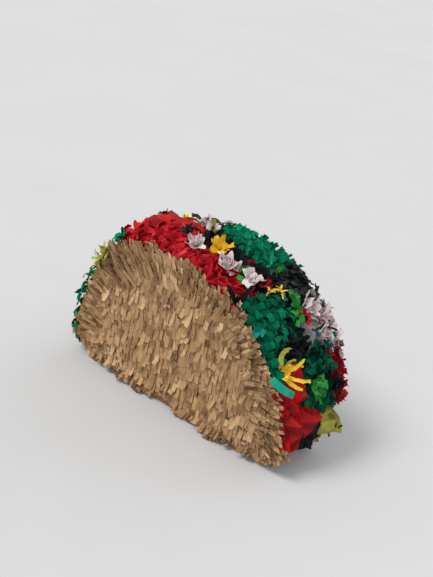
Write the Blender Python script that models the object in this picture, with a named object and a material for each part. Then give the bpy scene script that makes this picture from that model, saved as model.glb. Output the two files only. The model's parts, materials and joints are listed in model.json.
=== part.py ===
"""Taco-shaped party pinata.

Two leaning card panels are joined by a card band along their round edges and a flat strip
along the fold. Kraft paper fringe hangs in rows over both faces, with a ring of radial
fringe round each edge. Clusters of tissue paper fill the rim, like the filling of a taco.
A card flap at the back, hinged on paper tape along its top edge, opens to load the sweets.

Frame: +X along the length, the front face towards -Y, +Z up, and the origin under the
middle of the base. Lengths are in metres and angles of the rim are in degrees.
"""

import math
import random

import bmesh
import bpy
from mathutils import Vector

# Shell
HALF_LENGTH = 0.203  # middle of a panel to its tip
HEIGHT = 0.2475  # up a panel's own face
CORNER_RISE = 0.045  # height of the rounded lower corners
BASE_HALF = 0.121  # half of the straight fold
BASE_WIDTH = 0.095  # over the outer faces of the panels, at the fold
LEAN = math.radians(5.8)  # each panel leans outwards
CARD = 0.003
GAP = 0.0003  # between pieces that touch
TAPE = 0.0005
TAPE_WIDTH = 0.018
TAPE_LIFT = 0.0008  # clears the panels' square edges

# Hanging point, inside the top of the rim
HANGER_ANGLES = (72, 108)
HANGER_HALF_WIDTH = 0.035
CORD_HOLE_RADIUS = 0.003
CORD_HOLE_Y = 0.012

# Fringe
PAPER = 0.0012  # a strip and the glue behind it
PAPER_LIFT = 0.0009  # from the surface to a row's glued edge
ROW_COUNT = 11
ROW_PITCH = 0.0192
ROW_TOP = 0.024  # top of the second row, less one pitch
ROW_DROP = 0.026
ROW_TILT = math.radians(8.8)
SKIRT_TOP = 0.021  # the lowest row splays on the table
SKIRT_DROP = 0.020
SKIRT_TILT = math.radians(28)
TOOTH = 0.016
CUT_DEPTH = 0.010
CUT_SHARE = 0.4  # of a short strip's length
CUT_HALF_WIDTH = 0.001
RING_INSET = 0.025  # the ring's glued edge, inside the panel's edge
RING_OVERHANG = 0.013
RING_ANGLES = (-45, 225)
RING_TEETH = 48
FIELD_GAP = 0.0015  # between the rows' ends and the ring

# Loading flap
HINGE_HEIGHT = 0.148  # up the back panel
FLAP_HALF = 0.055
FLAP_DROP = 0.064
FLAP_CARD = 0.0016
FLAP_LAP = 0.006  # how far the flap covers the panel round its hole
FLAP_TOP_GAP = 0.001
FLAP_SIDE_GAP = 0.002
FLAP_ROWS = (4, 5, 6)  # rows of the back face that the flap interrupts
ROW_OVER_FLAP = 7  # its strips over the flap are cut short
SHORT_DROP = 0.0068
HINGE_TAPE = (0.0022, 0.014)  # above the hinge line

# Filling
FILLING_LIFT = 0.0018  # above the rim tape
FILLING_SIDE = 0.001  # inside the panels' outer faces
SECTION_POINTS = 12  # round a cluster
SECTION_DEGREES = 5  # along the rim
FEWEST_SECTIONS = 8
ROUND_END = 0.4  # 1 is an ellipsoid, and less is blunter
DOME = 0.7  # below 1 is flatter on top
BUMP = 0.12

COLOURS = {
    "card": (0.30, 0.19, 0.10),
    "kraft": (0.29, 0.17, 0.085),
    "tape": (0.36, 0.24, 0.13),
    "red": (0.60, 0.008, 0.02),
    "scarlet": (0.78, 0.03, 0.015),
    "emerald": (0.0, 0.16, 0.085),
    "black": (0.016, 0.017, 0.022),
    "white": (0.66, 0.58, 0.66),
    "yellow": (0.85, 0.45, 0.02),
    "lime": (0.42, 0.45, 0.08),
}

# name: (colour, first angle, last angle, near lane, far lane, height)
NEAR, MIDDLE, FAR = (-1.0, -0.35), (-0.31, 0.31), (0.35, 1.0)
FILLINGS = {
    "salsa_fold_near": ("scarlet", -18, 27, NEAR, 0.027),
    "lettuce_ruffle_near": ("emerald", 29, 59, NEAR, 0.027),
    "tomato_ruffle_near": ("red", 60, 93, NEAR, 0.027),
    "tomato_ruffle_top": ("red", 94, 128, NEAR, 0.027),
    "lettuce_ruffle_left": ("emerald", 129, 198, NEAR, 0.024),
    "olive_fold_low": ("black", -20, 8, MIDDLE, 0.034),
    "lettuce_pompom": ("emerald", 9, 33, MIDDLE, 0.036),
    "olive_tuft_middle": ("black", 34, 50, MIDDLE, 0.036),
    "onion_tuft_middle": ("white", 51, 69, MIDDLE, 0.036),
    "cheese_tuft_top": ("yellow", 70, 88.7, MIDDLE, 0.034),
    "salsa_fold_top": ("scarlet", 91.3, 130, MIDDLE, 0.034),
    "cheese_strips_left": ("lime", 131, 200, MIDDLE, 0.032),
    "cheese_fold_low": ("lime", -18, 11, FAR, 0.027),
    "salsa_tuft_far": ("red", 12, 32, FAR, 0.028),
    "onion_tuft_far": ("white", 33, 49, FAR, 0.028),
    "olive_tuft_far": ("black", 50, 66, FAR, 0.028),
    "lettuce_ruffle_far": ("emerald", 67, 120, FAR, 0.028),
    "tomato_ruffle_far": ("red", 121, 198, FAR, 0.024),
}


def clear_scene():
    for existing in list(bpy.data.objects):
        bpy.data.objects.remove(existing)


def make_collection(name):
    collection = bpy.data.collections.new(name)
    bpy.context.scene.collection.children.link(collection)
    return collection


def make_material(name, colour, roughness):
    material = bpy.data.materials.new(name)
    material.use_nodes = True
    shader = material.node_tree.nodes["Principled BSDF"]
    shader.inputs["Base Color"].default_value = (*colour, 1.0)
    shader.inputs["Roughness"].default_value = roughness
    shader.inputs["Metallic"].default_value = 0.0
    return material


def add_object(name, data, colour, parent=None, location=(0, 0, 0), turn=(0, 0, 0)):
    """A part with its own material, placed under an optional parent."""
    piece = bpy.data.objects.new(name, data)
    piece.data.materials.append(make_material(name, COLOURS[colour], 0.85))
    PARTS.objects.link(piece)
    piece.parent = parent
    piece.location = location
    piece.rotation_euler = turn
    return piece


def add_empty(name, parent=None, location=(0, 0, 0), turn=(0, 0, 0)):
    empty = bpy.data.objects.new(name, None)
    PARTS.objects.link(empty)
    empty.parent = parent
    empty.location = location
    empty.rotation_euler = turn
    return empty


def edge_point(angle, grow=0.0, inset=0.0):
    """Point (x, up) of a panel's outline, made smaller by inset and then grown outwards.

    The angle runs from -90, the right end of the fold, over the top at 90, to 270.
    """
    on_right = angle <= 90
    turn = math.radians(angle if on_right else 180 - angle)
    if turn < 0:
        centre, across, rise = BASE_HALF - inset, HALF_LENGTH - BASE_HALF, CORNER_RISE
    else:
        centre, across, rise = 0.0, HALF_LENGTH - inset, HEIGHT - CORNER_RISE - inset
    normal = Vector((math.cos(turn) / across, math.sin(turn) / rise)).normalized()
    x = centre + across * math.cos(turn) + grow * normal.x
    up = CORNER_RISE + rise * math.sin(turn) + grow * normal.y
    return (x if on_right else -x), up


def field_half(up):
    """Half the length of the area inside the ring, at a height up the panel."""
    half = HALF_LENGTH - RING_INSET
    if up < CORNER_RISE:
        centre = BASE_HALF - RING_INSET
        sine = up / CORNER_RISE - 1
        return centre + (half - centre) * math.sqrt(1 - sine * sine) - FIELD_GAP
    sine = (up - CORNER_RISE) / (HEIGHT - RING_INSET - CORNER_RISE)
    return half * math.sqrt(max(0.0, 1 - sine * sine)) - FIELD_GAP


def spread(first, last, count):
    """Evenly spaced values, both ends included."""
    return [first + (last - first) * i / (count - 1) for i in range(count)]


def flat_piece(name, loops, thickness, colour, parent, location=(0, 0, 0), tilt=0.0):
    """A flat sheet with straight sides, from closed loops of (x, y) points."""
    curve = bpy.data.curves.new(name, "CURVE")
    curve.dimensions = "2D"
    curve.fill_mode = "BOTH"
    curve.extrude = thickness / 2
    for loop in loops:
        spline = curve.splines.new("POLY")
        spline.points.add(len(loop) - 1)
        for point, (x, y) in zip(spline.points, loop):
            point.co = (x, y, 0.0, 1.0)
        spline.use_cyclic_u = True
    return add_object(name, curve, colour, parent, location, (tilt, 0, 0))


def rectangle(x_half, low, high):
    return [(-x_half, low), (x_half, low), (x_half, high), (-x_half, high)]


def panel_outline():
    """The right end of the fold, over the top, to its left end."""
    return [edge_point(angle) for angle in spread(-90, 270, 73)]


def outer_half(z):
    """Half the width over the panels' outer faces, at a height above the table."""
    return BASE_WIDTH / 2 + z * math.tan(LEAN)


def inner_half(z):
    """Half the width between the panels, at a height above the table."""
    return outer_half(z) - CARD / math.cos(LEAN)


def rim_point(angle, grow):
    """Point (x, z) above the table of the rim, between the leaning panels."""
    x, up = edge_point(angle, grow)
    return x, up * math.cos(LEAN)


def rim_strip(name, angles, low, high, sides, colour):
    """A strip that follows the rim, from low to high off the panels' edge.

    sides(z) gives its two side positions, which follow the lean of the panels.
    """
    shape = bmesh.new()
    sections = []
    for angle in angles:
        section = []
        for grow, order in ((high, 1), (low, -1)):
            x, z = rim_point(angle, grow)
            section += [shape.verts.new((x, y, z)) for y in sides(z)[::order]]
        sections.append(section)
    for before, after in zip(sections, sections[1:]):
        for i in range(4):
            j = (i + 1) % 4
            shape.faces.new((before[i], before[j], after[j], after[i]))
    shape.faces.new(sections[0][::-1])
    shape.faces.new(sections[-1])
    bmesh.ops.recalc_face_normals(shape, faces=shape.faces)
    mesh = bpy.data.meshes.new(name)
    shape.to_mesh(mesh)
    shape.free()
    return add_object(name, mesh, colour)


def cut_cord_holes(*pieces):
    """Two vertical holes through the top of the rim, for the hanging cord."""
    for label, y in (("left", -CORD_HOLE_Y), ("right", CORD_HOLE_Y)):
        bpy.ops.mesh.primitive_cylinder_add(
            vertices=12, radius=CORD_HOLE_RADIUS, depth=0.06, location=(0, y, HEIGHT)
        )
        cutter = bpy.context.object
        cutter.name = "cord_hole_" + label
        cutter.hide_render = True
        cutter.display_type = "WIRE"
        for collection in list(cutter.users_collection):
            collection.objects.unlink(cutter)
        CUTTERS.objects.link(cutter)
        for piece in pieces:
            cut = piece.modifiers.new(cutter.name, "BOOLEAN")
            cut.operation = "DIFFERENCE"
            cut.object = cutter


def build_shell(front, back):
    """Panels, band, base strip, hanging plate and the tape over the rim's two seams."""
    middle = (0, 0, -CARD / 2)
    hole = rectangle(
        FLAP_HALF - FLAP_LAP, HINGE_HEIGHT - FLAP_DROP + FLAP_LAP, HINGE_HEIGHT - FLAP_LAP
    )
    flat_piece("front_panel", [panel_outline()], CARD, "card", front, middle)
    flat_piece("back_panel", [panel_outline(), hole], CARD, "card", back, middle)

    def between_panels(z):
        return -inner_half(z) + GAP, inner_half(z) - GAP

    band = rim_strip("rim_band", spread(-90, 270, 73), -CARD, 0.0, between_panels, "card")
    plate = rim_strip(
        "hanger_plate",
        spread(*HANGER_ANGLES, 9),
        -2 * CARD - GAP,
        -CARD - GAP,
        lambda z: (-HANGER_HALF_WIDTH, HANGER_HALF_WIDTH),
        "card",
    )
    cut_cord_holes(band, plate)

    base_half_width = inner_half(0) - GAP
    bpy.ops.mesh.primitive_cube_add(size=1)
    base = bpy.context.object
    mesh = base.data
    bpy.data.objects.remove(base)
    for vertex in mesh.vertices:
        vertex.co.x *= 2 * (BASE_HALF - GAP)
        vertex.co.y *= 2 * base_half_width
        vertex.co.z = (vertex.co.z + 0.5) * CARD
    add_object("base_strip", mesh, "card")

    for name, side in (("rim_tape_front", -1), ("rim_tape_back", 1)):

        def along_edge(z, side=side):
            outer = outer_half(z) - GAP
            return side * outer, side * (outer - TAPE_WIDTH)

        rim_strip(
            name, spread(-45, 225, 55), TAPE_LIFT, TAPE_LIFT + TAPE, along_edge, "tape"
        )


def fringe_loop(left, right, drop_at, flare_left=0.0, flare_right=0.0):
    """Outline of a row: a straight glued edge at y = 0 and cut strips below it.

    drop_at(x) is a strip's length, and the flares move the lower corners outwards.
    """
    count = max(2, round((right - left) / TOOTH))
    edges = spread(left - flare_left, right + flare_right, count + 1)
    loop = [(right, 0.0), (left, 0.0)]
    for first, last in zip(edges, edges[1:]):
        drop = drop_at((first + last) / 2)
        loop.append((first + CUT_HALF_WIDTH, -drop))
        loop.append((last - CUT_HALF_WIDTH, -drop))
        if last < edges[-1]:
            shorter = min(drop, drop_at(last + TOOTH / 2))
            loop.append((last, min(CUT_DEPTH, CUT_SHARE * shorter) - shorter))
    return loop


def row_height(row):
    return SKIRT_TOP if row == 0 else ROW_TOP + ROW_PITCH * row


def fringe_row(name, face, row, left=None, right=None, drop_at=None):
    """A row of kraft fringe on a face, over its whole length or from left to right."""
    top = row_height(row)
    drop = SKIRT_DROP if row == 0 else ROW_DROP
    tilt = SKIRT_TILT if row == 0 else ROW_TILT
    half = field_half(top)
    flare = field_half(max(0.0, top - drop)) - half
    loop = fringe_loop(
        -half if left is None else left,
        half if right is None else right,
        drop_at or (lambda x: drop),
        flare if left is None else 0.0,
        flare if right is None else 0.0,
    )
    lift = PAPER_LIFT + PAPER / 2
    flat_piece(name, [loop], PAPER, "kraft", face, (0, top, lift), -tilt)


def edge_fringe(name, face):
    """The ring of radial strips that overhangs a panel's round edge."""
    edges = spread(*RING_ANGLES, RING_TEETH + 1)
    loop = [edge_point(angle, 0.0, RING_INSET) for angle in edges[::-1]]
    for first, last in zip(edges, edges[1:]):
        share = (last - first) * 0.06
        loop.append(edge_point(first + share, RING_OVERHANG))
        loop.append(edge_point(last - share, RING_OVERHANG))
        if last < edges[-1]:
            loop.append(edge_point(last, RING_OVERHANG - CUT_DEPTH))
    flat_piece(name, [loop], PAPER, "kraft", face, (0, 0, PAPER_LIFT + PAPER / 2))


def over_flap_drop(x):
    """Strips right above the flap stop short of its hinge."""
    return SHORT_DROP if abs(x) < FLAP_HALF + TOOTH / 2 else ROW_DROP


def build_fringe(front, back):
    """All rows of both faces. The back face's local x points to the left of the frame."""
    for row in range(ROW_COUNT):
        fringe_row(f"front_fringe_{row + 1:02d}", front, row)
        name = f"back_fringe_{row + 1:02d}"
        if row in FLAP_ROWS:
            beside = FLAP_HALF + FLAP_SIDE_GAP
            fringe_row(name + "_right", back, row, right=-beside)
            fringe_row(name + "_left", back, row, left=beside)
        elif row == ROW_OVER_FLAP:
            fringe_row(name, back, row, drop_at=over_flap_drop)
        else:
            fringe_row(name, back, row)
    edge_fringe("front_edge_fringe", front)
    edge_fringe("back_edge_fringe", back)


def build_flap(back):
    """The loading flap, under an empty on its hinge line, and the tape above that line."""
    pivot = add_empty("hatch_pivot", back, (0, HINGE_HEIGHT, GAP))
    door = rectangle(FLAP_HALF, -FLAP_DROP, -FLAP_TOP_GAP)
    flat_piece("hatch_door", [door], FLAP_CARD, "card", pivot, (0, 0, FLAP_CARD / 2))
    loop = fringe_loop(-FLAP_HALF, FLAP_HALF, lambda x: ROW_DROP)
    lift = FLAP_CARD + PAPER_LIFT + PAPER / 2
    for number, row in enumerate(FLAP_ROWS):
        place = (0, row_height(row) - HINGE_HEIGHT, lift)
        name = f"hatch_fringe_{number + 1}"
        flat_piece(name, [loop], PAPER, "kraft", pivot, place, -ROW_TILT)
    low, high = HINGE_TAPE
    tape = rectangle(FLAP_HALF, HINGE_HEIGHT + low, HINGE_HEIGHT + high)
    place = (0, 0, GAP + GAP / 2)
    flat_piece("hatch_hinge_tape", [tape], GAP, "tape", back, place)


def filling_cluster(name, colour, first, last, lane, height, chance):
    """A lumpy tissue cluster that fills its share of the rim, from a round cage.

    The cage's poles are the cluster's two ends along the rim.
    """
    cage = bmesh.new()
    sections = max(FEWEST_SECTIONS, round((last - first) / SECTION_DEGREES))
    bmesh.ops.create_uvsphere(
        cage, u_segments=SECTION_POINTS, v_segments=sections, radius=1.0
    )
    for vertex in cage.verts:
        across, up, along = vertex.co
        fuller = math.hypot(across, up) ** (ROUND_END - 1) if abs(along) < 1 else 1.0
        rise = height * max(0.0, up * fuller) ** DOME
        rise *= 1 + chance.uniform(-BUMP, BUMP)
        angle = (first + last) / 2 - (last - first) / 2 * along
        share = (lane[0] + lane[1]) / 2 + (lane[1] - lane[0]) / 2 * across * fuller
        x, z = rim_point(angle, FILLING_LIFT + rise)
        y = share * (outer_half(rim_point(angle, 0.0)[1]) - FILLING_SIDE)
        vertex.co = (x, y, z)
    mesh = bpy.data.meshes.new(name)
    cage.to_mesh(mesh)
    cage.free()
    mesh.shade_smooth()
    add_object(name, mesh, colour)


def build_filling():
    chance = random.Random(5)
    for name, (colour, first, last, lane, height) in FILLINGS.items():
        filling_cluster(name, colour, first, last, lane, height, chance)


def main():
    upright = math.pi / 2 + LEAN
    front = add_empty("front_face", None, (0, -BASE_WIDTH / 2, 0), (upright, 0, 0))
    back = add_empty("back_face", None, (0, BASE_WIDTH / 2, 0), (upright, 0, math.pi))
    build_shell(front, back)
    build_fringe(front, back)
    build_flap(back)
    build_filling()


clear_scene()
PARTS = make_collection("pinata")
CUTTERS = make_collection("cutters")
main()
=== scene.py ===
"""Looks of the paper pinata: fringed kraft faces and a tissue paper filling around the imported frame."""

import json
import math

import bpy
import numpy as np
from mathutils import Matrix, Vector


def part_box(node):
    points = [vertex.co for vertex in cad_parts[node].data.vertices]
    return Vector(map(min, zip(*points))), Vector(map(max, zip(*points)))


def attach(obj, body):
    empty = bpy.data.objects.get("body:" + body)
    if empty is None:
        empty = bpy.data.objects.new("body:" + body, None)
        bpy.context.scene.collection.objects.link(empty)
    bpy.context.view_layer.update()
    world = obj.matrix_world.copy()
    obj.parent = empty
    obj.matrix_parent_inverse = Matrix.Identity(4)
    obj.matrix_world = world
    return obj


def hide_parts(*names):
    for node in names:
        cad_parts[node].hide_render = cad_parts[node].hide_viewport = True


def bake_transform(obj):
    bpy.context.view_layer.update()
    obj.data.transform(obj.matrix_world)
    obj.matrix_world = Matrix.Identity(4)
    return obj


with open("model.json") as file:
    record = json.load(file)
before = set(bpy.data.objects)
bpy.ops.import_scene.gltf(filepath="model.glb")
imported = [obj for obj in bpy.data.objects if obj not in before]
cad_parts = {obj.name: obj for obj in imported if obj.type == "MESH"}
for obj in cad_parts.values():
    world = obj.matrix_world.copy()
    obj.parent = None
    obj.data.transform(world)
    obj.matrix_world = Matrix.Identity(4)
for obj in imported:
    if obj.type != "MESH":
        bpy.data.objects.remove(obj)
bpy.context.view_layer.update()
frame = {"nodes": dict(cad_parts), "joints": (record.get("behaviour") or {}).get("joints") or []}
TURN = 2 * math.pi
PAPER = .00022  # thickness of one sheet


# ---- where the CAD says things are

def node_points(name):
    """The corners of a CAD node as an array, in metres."""
    return np.array([v.co[:] for v in frame["nodes"][name].data.vertices])


def face_shape():
    """Half length, height along the face, lean, foot, corner rise and half base of the front face."""
    points = node_points("front_panel")
    low, high = points.min(0), points.max(0)
    at_floor = points[points[:, 2] < .0005]
    foot = -at_floor[:, 1].min()
    lean = math.atan2(-low[1] - foot, high[2])
    tip = points[np.argmax(points[:, 0])]
    return high[0], high[2] / math.cos(lean), lean, foot, tip[2] / math.cos(lean), at_floor[:, 0].max()


HALF, HEIGHT, LEAN, FOOT, CORNER, BASE_HALF = face_shape()
SIN, COS = math.sin(LEAN), math.cos(LEAN)
HINGE_UP = frame["joints"][0]["pos_m"][2] / COS  # of the hatch's hinge line, up the back face


def unit(v):
    """Vectors at length one."""
    return v / np.maximum(np.linalg.norm(v, axis=-1, keepdims=True), 1e-12)


def face_vector(side, x, up, out, foot=0):
    """World direction of a vector given along, up and out of a face: side -1 is the front and 1 the back."""
    x, up, out = np.broadcast_arrays(x, up, out)
    return np.stack([x, side * (foot + up * SIN + out * COS), up * COS - out * SIN], -1)


def on_face(side, x, up, out):
    """World points of a face, given along it, up it and away from the card."""
    return face_vector(side, x, up, out, FOOT)


def edge(angle, inset=0.0):
    """Point and outward normal of the faces' outline, in the face's plane, by angle from the right tip."""
    angle = np.asarray(angle, float)
    folded = np.where(angle > 90, 180 - angle, angle)
    turn = np.radians(folded)
    low = folded < 0
    across = np.where(low, HALF - BASE_HALF, HALF - inset)
    rise = np.where(low, CORNER, HEIGHT - CORNER - inset)
    centre = np.where(low, BASE_HALF - inset, 0.0)
    x = centre + across * np.cos(turn)
    up = CORNER + rise * np.sin(turn) + np.where(low, inset * np.abs(np.sin(turn)), 0)
    normal = unit(np.stack([np.cos(turn) / across, np.sin(turn) / rise], -1))
    mirror = np.where(angle > 90, -1.0, 1.0)
    return np.stack([x * mirror, up], -1), normal * np.stack([mirror, np.ones_like(mirror)], -1)


def rim(angle, lane, height):
    """Point over the rim band: angle along it, lane -1 near to 1 far across it, height above it."""
    angle, lane, height = np.broadcast_arrays(angle, lane, height)
    spot, normal = edge(angle)
    x = spot[..., 0] + normal[..., 0] * height
    up = spot[..., 1] + normal[..., 1] * height
    y = lane * (FOOT + up * SIN)
    return np.stack([x, y, up * COS], -1)


def rim_frame(angle, lane):
    """Outward, along (towards the right tip) and across directions over the rim band."""
    angle, lane = np.broadcast_arrays(angle, lane)
    spot, normal = edge(angle)
    outward = unit(np.stack([normal[..., 0], .55 * lane, normal[..., 1]], -1))
    along = np.stack([normal[..., 1], np.zeros_like(lane), -normal[..., 0]], -1)
    across = np.cross(outward, along)
    return outward, along, -across


# ---- strips and petals of paper

def lattice(first, second):
    """The grid of every pair of two rows of values, as two arrays."""
    return np.meshgrid(first, second, indexing="ij")


def between(first, second, angle):
    """Directions turned by an angle from the first towards the second."""
    return first * np.cos(angle)[:, None] + second * np.sin(angle)[:, None]


def seeded(name):
    """The random numbers of one piece, the same on every run."""
    return np.random.default_rng(sum((i + 1) * ord(c) for i, c in enumerate(name)))


def turned(v, axis, angle):
    """v turned about axis by angle, for arrays of vectors."""
    angle = np.asarray(angle)[..., None]
    return (v * np.cos(angle) + np.cross(axis, v) * np.sin(angle)
            + axis * np.sum(axis * v, -1, keepdims=True) * (1 - np.cos(angle)))


SHAPE = {"width": .006, "length": .02}
SHAPE.update(dict.fromkeys("tilt curl bend twist cup taper belly slant crush".split(), 0))
SHAPE.update(tint=.5, hook=1, frill=0)


def pose(s, part):
    """Forward, across and flat directions of every strip at a part of its length."""
    angle = s["tilt"] + s["curl"] * part ** s["hook"]
    sway = -s["bend"] * part ** s["hook"]
    forward = turned(s["direction"], s["side"], angle)
    flat = turned(s["normal"], s["side"], angle)
    forward, across = turned(forward, flat, sway), turned(s["side"], flat, sway)
    twist = s["twist"] * part
    return forward, turned(across, forward, twist), turned(flat, forward, twist)


class Sheaf:
    """Strips of paper gathered for one piece. Angles are in radians and lengths in metres."""

    def __init__(self, node, steps=4, columns=3):
        self.node = node
        self.name = node + "_paper"
        self.steps, self.columns = steps, columns
        self.random = seeded(self.name)
        self.rows = []

    def add(self, base, direction, normal, **shape):
        """Adds strips that start at base, run along direction and curl towards normal. A pair is a range."""
        base = np.atleast_2d(base)
        row = {"base": base, "direction": unit(np.broadcast_to(direction, base.shape)),
               "normal": np.broadcast_to(normal, base.shape)}
        for key, value in SHAPE.items():
            value = shape.get(key, value)
            if isinstance(value, tuple):
                value = self.random.uniform(*value, len(base))
            row[key] = np.broadcast_to(np.asarray(value, float), len(base))
        self.rows.append(row)

    def mesh(self):
        """Corner points of every strip, their quads and their paper coordinates."""
        s = {key: np.concatenate([row[key] for row in self.rows]) for key in self.rows[0]}
        count = len(s["base"])
        s["side"] = unit(np.cross(s["direction"], s["normal"]))
        s["normal"] = np.cross(s["side"], s["direction"])
        points, marks = [], []
        centre = s["base"].copy()
        step = s["length"] / self.steps
        crush = self.random.normal(0, 1, (count, self.steps + 1, self.columns, 3))
        for k in range(self.steps + 1):
            part = k / self.steps
            if k:
                centre = centre + pose(s, part - .5 / self.steps)[0] * step[:, None]
            forward, across, flat = pose(s, part)
            half = s["width"] / 2 * (1 - s["taper"] * part ** 1.5 + s["belly"] * math.sin(math.pi * part))
            half = half * (.97 if k == self.steps else 1)
            ring, mark = [], []
            for j, column in enumerate(np.linspace(-1, 1, self.columns)):
                place = (centre + across * (half * column)[:, None]
                         + flat * (s["cup"] * half * abs(column))[:, None]
                         + flat * (s["frill"] * (-1) ** j * part)[:, None]
                         + forward * (s["slant"] * half * column * part)[:, None]
                         + crush[:, k, j] * (s["crush"] * (.35 + .65 * part))[:, None])
                ring.append((place + flat * PAPER / 2, place - flat * PAPER / 2))
                mark.append(np.stack([half * column, s["length"] * part, s["tint"]], -1))
            loop = [r[0] for r in ring] + [r[1] for r in reversed(ring)]
            points.append(np.stack(loop, 1))
            marks.append(np.stack(mark + mark[::-1], 1))
        points, marks = (np.stack(grid, 1).reshape(-1, 3) for grid in (points, marks))
        return points, self.faces(count), marks

    def faces(self, count):
        """The quads of every strip: sides, then both ends."""
        ring = 2 * self.columns
        k, c = lattice(np.arange(self.steps) * ring, np.arange(ring))
        d = (c + 1) % ring
        sides = np.stack([k + c, k + d, k + ring + d, k + ring + c], -1)
        c = np.arange(self.columns - 1)
        low, last = ring - 1 - c, self.steps * ring
        ends = np.stack([c, low, low - 1, c + 1, last + c + 1, last + low - 1, last + low, last + c], -1)
        start = np.arange(count)[:, None, None] * ring * (self.steps + 1)
        return (np.concatenate([sides.reshape(-1, 4), ends.reshape(-1, 4)]) + start).reshape(-1, 4)


def placed(data):
    """A new object of its data, in the scene."""
    new = bpy.data.objects.new(data.name, data)
    bpy.context.scene.collection.objects.link(new)
    return new


def made(name, points, quads, marks, material, smooth=40):
    """A mesh object with its material, smooth but for sharp folds."""
    data = bpy.data.meshes.new(name)
    data.from_pydata(points, [], quads, shade_flat=False)
    data.validate()
    data.set_sharp_from_angle(angle=math.radians(smooth))
    paper = data.attributes.new("paper", "FLOAT_VECTOR", "POINT")
    paper.data.foreach_set("vector", marks.astype(np.float32).ravel())
    data.materials.append(material)
    return placed(data)


def strips(sheaf, material, extra=(), smooth=40):
    """The object of a sheaf, with extra (points, quads, marks) meshes joined in."""
    joined = []
    start = 0
    for points, quads, marks in (sheaf.mesh(), *extra):
        joined.append((points, quads + start, marks))
        start += len(points)
    points, quads, marks = map(np.concatenate, zip(*joined))
    return made(sheaf.name, rested(points), quads, marks, material, smooth)


def shell(front, back):
    """A closed sheet between two grids of points."""
    rows, columns = front.shape[:2]
    count = rows * columns
    index = np.arange(count).reshape(rows, columns)
    near = np.stack([index[:-1, :-1], index[:-1, 1:], index[1:, 1:], index[1:, :-1]], -1).reshape(-1, 4)
    far = near[:, [0, 3, 2, 1]] + count
    loop = np.concatenate([index[0, :], index[1:, -1], index[-1, -2::-1], index[-2:0:-1, 0]])
    following = np.roll(loop, -1)
    border = np.stack([loop, loop + count, following + count, following], -1)
    points = np.concatenate([front.reshape(-1, 3), back.reshape(-1, 3)])
    return points, np.concatenate([near, far, border])


def marked(front, back, u, v, tint):
    """A closed sheet between two grids of points, with paper coordinates and tones over the grid."""
    points, quads = shell(front, back)
    marks = np.stack([u, v, np.broadcast_to(tint, u.shape)], -1).reshape(-1, 3)
    return points, quads, np.concatenate([marks, marks])


def rested(points, lift=.0025, soft=.004):
    """Points with those that would pass the floor pressed flat just over it."""
    height = points[:, 2]
    pressed = lift * np.exp(np.minimum(height - lift, 0) / soft)
    return np.column_stack([points[:, :2], np.where(height < lift, pressed, height)])


# ---- materials

class Nodes:
    """Short calls for building a material's nodes."""

    def __init__(self, name):
        self.material = bpy.data.materials.new(name)
        self.material.use_nodes = True
        self.tree = self.material.node_tree
        self.shader = self.tree.nodes["Principled BSDF"]
        self.place = self.node("ShaderNodeTexCoord").outputs["Object"]

    def node(self, kind, *numbered, **values):
        """A node with its first sockets set by number, and others or its properties by name."""
        new = self.tree.nodes.new(kind)
        for number, value in enumerate(numbered):
            self.set(new.inputs[number], value)
        for key, value in values.items():
            if key in new.inputs:
                self.set(new.inputs[key], value)
            else:
                setattr(new, key, value)
        return new

    def set(self, socket, value):
        """Links a socket to another, or sets its value."""
        if isinstance(value, bpy.types.NodeSocket):
            self.tree.links.new(value, socket)
        else:
            socket.default_value = value

    def noise(self, vector, scale, detail=3.0, roughness=.6):
        """A noise value at so many cells a metre."""
        new = self.node("ShaderNodeTexNoise", Vector=vector, Scale=scale, Detail=detail, Roughness=roughness)
        return new.outputs["Fac"]

    def math(self, operation, a, b=0.0, clamp=False):
        """Two values added or multiplied."""
        return self.node("ShaderNodeMath", a, b, operation=operation, use_clamp=clamp).outputs[0]

    def span(self, value, to_low, to_high, low=.3, high=.7):
        """A value mapped from one range, by default that of a noise, to another."""
        return self.node("ShaderNodeMapRange", value, low, high, to_low, to_high).outputs["Result"]

    def ramp(self, value, tones):
        """A colour by value, through (place, colour) tones."""
        new = self.node("ShaderNodeValToRGB", Fac=value)
        stops = new.color_ramp.elements
        while len(stops) < len(tones):
            stops.new(.5)
        for stop, (place, colour) in zip(stops, tones):
            stop.position = place
            stop.color = (*colour, 1)
        return new.outputs["Color"]

    def mix(self, blend, amount, a, b):
        """Two colours mixed."""
        new = self.node("ShaderNodeMix", data_type="RGBA", blend_type=blend)
        for socket, value in zip((0, 6, 7), (amount, a, b)):
            self.set(new.inputs[socket], value)
        return new.outputs[2]

    def stretched(self, vector, scales):
        """Coordinates multiplied by a number along each axis."""
        return self.node("ShaderNodeVectorMath", vector, scales, operation="MULTIPLY").outputs[0]

    def shade(self, **values):
        """Sets the shader's sockets; the words of their names are joined by _."""
        for key, value in values.items():
            self.set(self.shader.inputs[key.replace("_", " ")], value)

    def finished(self, colour, roughness, height, strength, distance):
        """The material, with its colour, roughness and relief on the shader."""
        raised = self.node("ShaderNodeBump", Strength=strength, Distance=distance, Height=height)
        self.shade(Base_Color=colour, Roughness=roughness, Normal=raised.outputs[0])
        return self.material


def tones(colours):
    """Colours spread evenly over a ramp, given as display values 0 to 255."""
    def linear(c):
        c = c / 255
        return c / 12.92 if c <= .04045 else ((c + .055) / 1.055) ** 2.4

    last = len(colours) - 1
    return [(i / last, tuple(linear(c) for c in colour)) for i, colour in enumerate(colours)]


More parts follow.
